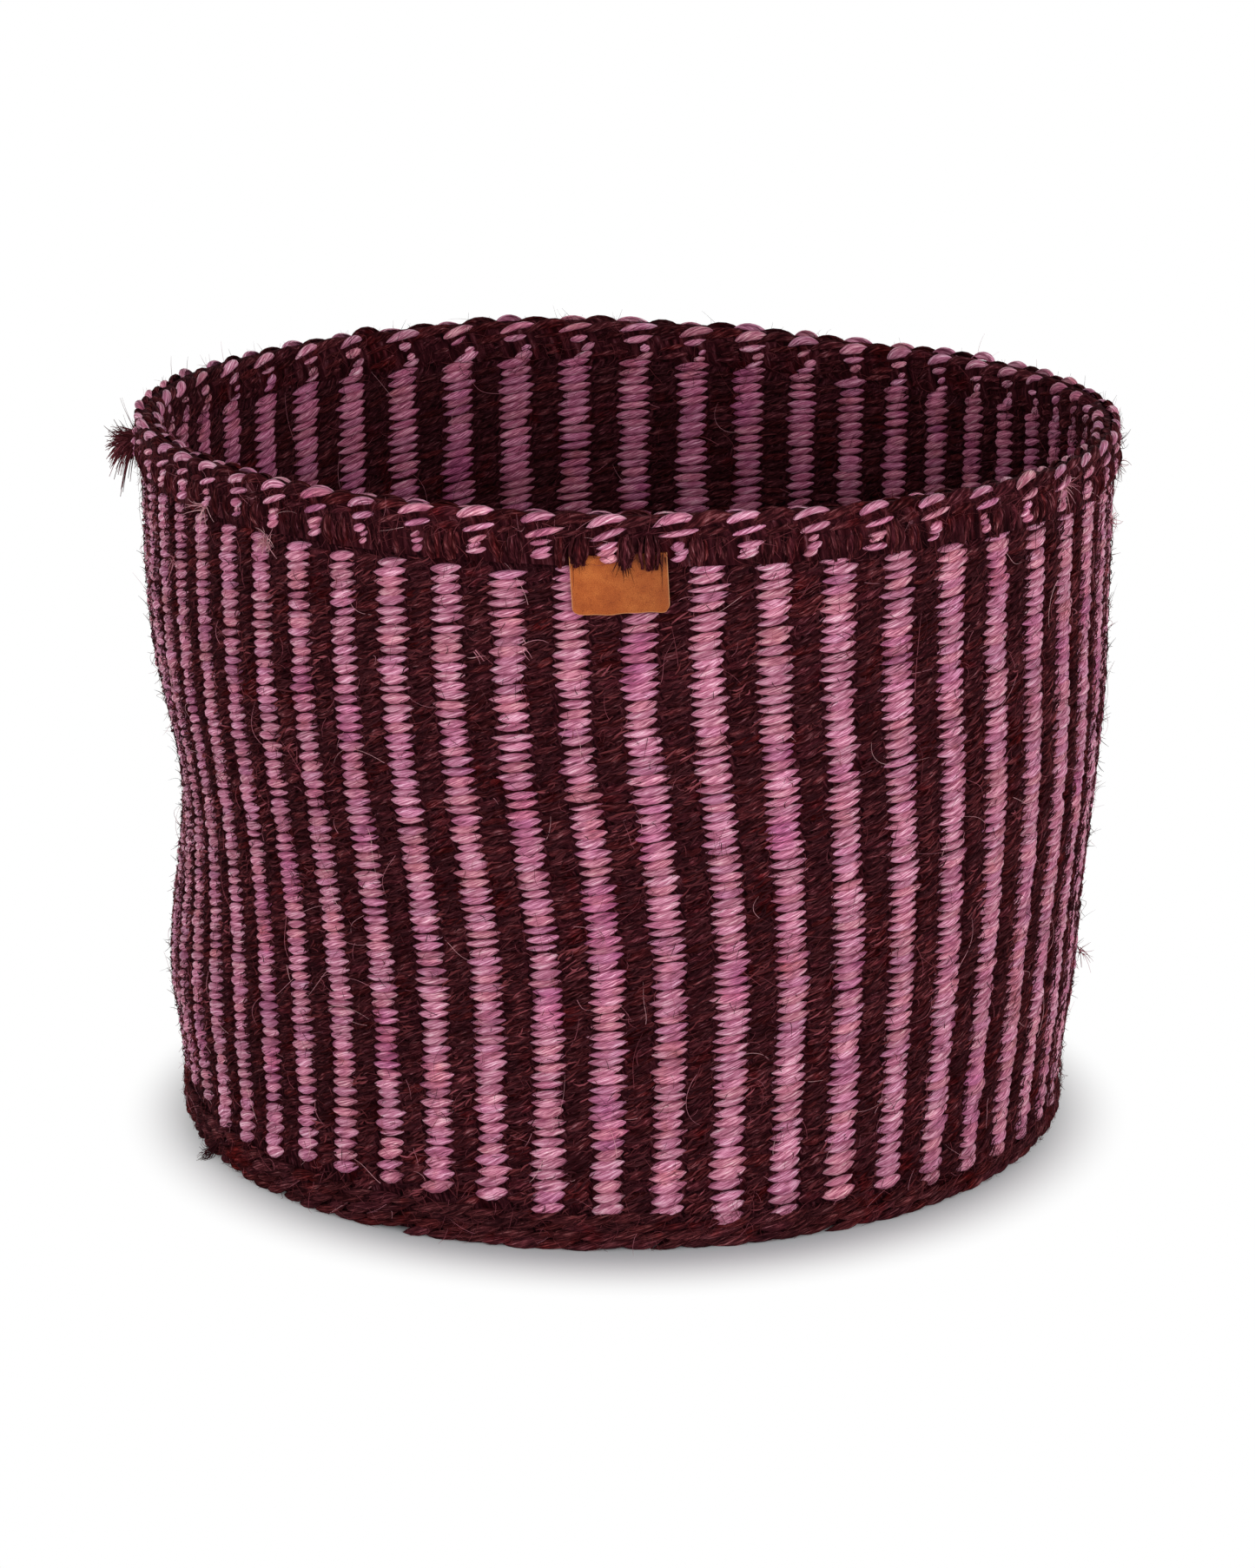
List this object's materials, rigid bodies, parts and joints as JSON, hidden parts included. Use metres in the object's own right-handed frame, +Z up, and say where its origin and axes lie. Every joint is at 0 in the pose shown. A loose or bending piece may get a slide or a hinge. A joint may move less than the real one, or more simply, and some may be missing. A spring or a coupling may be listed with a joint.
{
  "type": "storage basket",
  "caption": "Round open storage basket, hand-twined from pink and dark plum sisal in upright columns, with a twisted rim, a thick foot and a bare leather label tucked under the rim.",
  "frame": {"origin": "bottom centre: the middle of the basket's foot print on the surface that it stands on", "axes": "+Z up through the mouth; the leather label is on the front, which faces -Y; +X to the right as seen from the front"},
  "size_m": [0.3656, 0.3643, 0.2628],
  "materials": {
    "pink_sisal": "dyed sisal strand, dusty pink, fibrous",
    "plum_sisal": "dyed sisal strand, very dark plum, fibrous",
    "plum_foot_sisal": "dyed sisal strand, dark red-plum, coarse",
    "tan_leather": "smooth vegetable-tanned leather, raw edges"
  },
  "bodies": {
    "basket": {"base_hub": "plum_foot_sisal", "base_disc": "plum_foot_sisal", "foot_round_1": "plum_foot_sisal", "foot_round_2": "plum_foot_sisal", "warp_wall": "plum_sisal", "plum_weft": "plum_sisal", "pink_weft": "pink_sisal", "rim_core": "plum_sisal", "rim_twist_plum": "plum_sisal", "rim_twist_pink": "pink_sisal", "rim_band": "plum_sisal", "rim_side_strand": "pink_sisal", "label_tuck": "tan_leather", "rim_tail": "plum_sisal", "foot_tail": "plum_foot_sisal"},
    "label": {"label_flap": "tan_leather"}
  },
  "joints": [
    {"name": "label_lift", "type": "hinge", "parent": "basket", "child": "label", "pos_m": [-0.00281, -0.17809, 0.24089], "axis": [-0.9988, 0.0156, -0.0469], "range_deg": [0, 75]}
  ]
}
